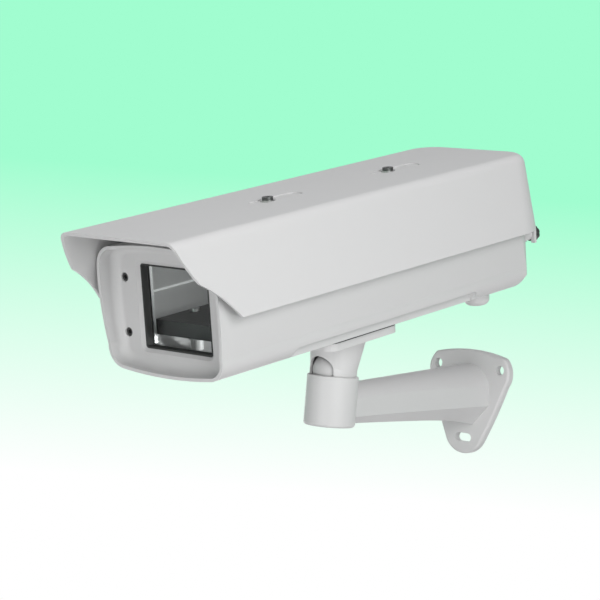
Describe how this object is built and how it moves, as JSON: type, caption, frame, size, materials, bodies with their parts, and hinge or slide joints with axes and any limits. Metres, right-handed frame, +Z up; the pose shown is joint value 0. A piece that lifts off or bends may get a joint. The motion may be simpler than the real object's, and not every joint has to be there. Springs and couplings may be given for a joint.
{
  "type": "security camera housing with wall bracket",
  "caption": "Outdoor camera housing with a long sunshield, side-hinged lid and recessed window, on a ball-head wall bracket.",
  "frame": {"origin": "on the wall plane, midway between the wall plate's two upper fixing holes", "axes": "+Z up, +Y into the wall, the bracket and the housing's window reach out along -Y"},
  "size_m": [0.1756, 0.4668, 0.2676],
  "materials": {
    "painted_casting": "satin light grey powder coat",
    "steel": "plain",
    "rubber": "matt",
    "black_plastic": "matt",
    "glass": "clear",
    "bare_aluminium": "as machined",
    "black_coated_sheet": "black anodised"
  },
  "bodies": {
    "bracket": {"arm_casting": "painted_casting"},
    "swivel": {"swivel_ball": "painted_casting", "swivel_washer": "steel", "swivel_nut": "steel"},
    "housing": {"housing_tray": "painted_casting", "cover_seal": "rubber", "window_gasket": "rubber", "window_clamp": "bare_aluminium", "window_glass": "glass", "bezel_screws": "steel", "camera_tray": "black_coated_sheet", "tray_screws": "steel", "entry_plugs": "painted_casting", "plug_seals": "rubber", "plug_nuts": "steel", "cable_grommet": "rubber", "base_pad": "rubber", "head_casting": "painted_casting", "base_washers": "steel", "base_screws": "steel", "tilt_pins": "steel", "hinge_pins": "steel"},
    "lid": {"cover": "painted_casting", "sunshield": "painted_casting", "shield_posts": "bare_aluminium", "shield_washers": "steel", "shield_screws": "steel"},
    "closing_knob": {"closing_knob": "black_plastic", "knob_stud": "steel"},
    "camera_slide": {"camera_slide": "black_coated_sheet", "camera_screw": "steel"},
    "slide_screw": {"slide_screw": "black_plastic"}
  },
  "joints": [
    {"name": "pan", "type": "hinge", "parent": "bracket", "child": "swivel", "pos_m": [0, -0.2038, -0.0015], "axis": [0, 0, 1], "range_deg": [-80, 80]},
    {"name": "tilt", "type": "hinge", "parent": "swivel", "child": "housing", "pos_m": [0, -0.2038, -0.0015], "axis": [0.9981, -0.061, 0], "range_deg": [-8, 18]},
    {"name": "lid_hinge", "type": "hinge", "parent": "housing", "child": "lid", "pos_m": [-0.07015, -0.21225, 0.09009], "axis": [-0.0596, -0.9752, -0.2132], "range_deg": [0, 90]},
    {"name": "knob_turn", "type": "hinge", "parent": "housing", "child": "closing_knob", "pos_m": [0.06494, -0.02653, 0.12211], "axis": [0.0596, 0.9752, 0.2132], "continuous": true},
    {"name": "camera_slide_travel", "type": "slide", "parent": "housing", "child": "camera_slide", "axis": [0.0596, 0.9752, 0.2132], "range_m": [-0.045, 0.09]},
    {"name": "slide_screw_turn", "type": "hinge", "parent": "camera_slide", "child": "slide_screw", "pos_m": [-0.00195, -0.23561, 0.07466], "axis": [-0.013, -0.2128, 0.977], "continuous": true}
  ]
}
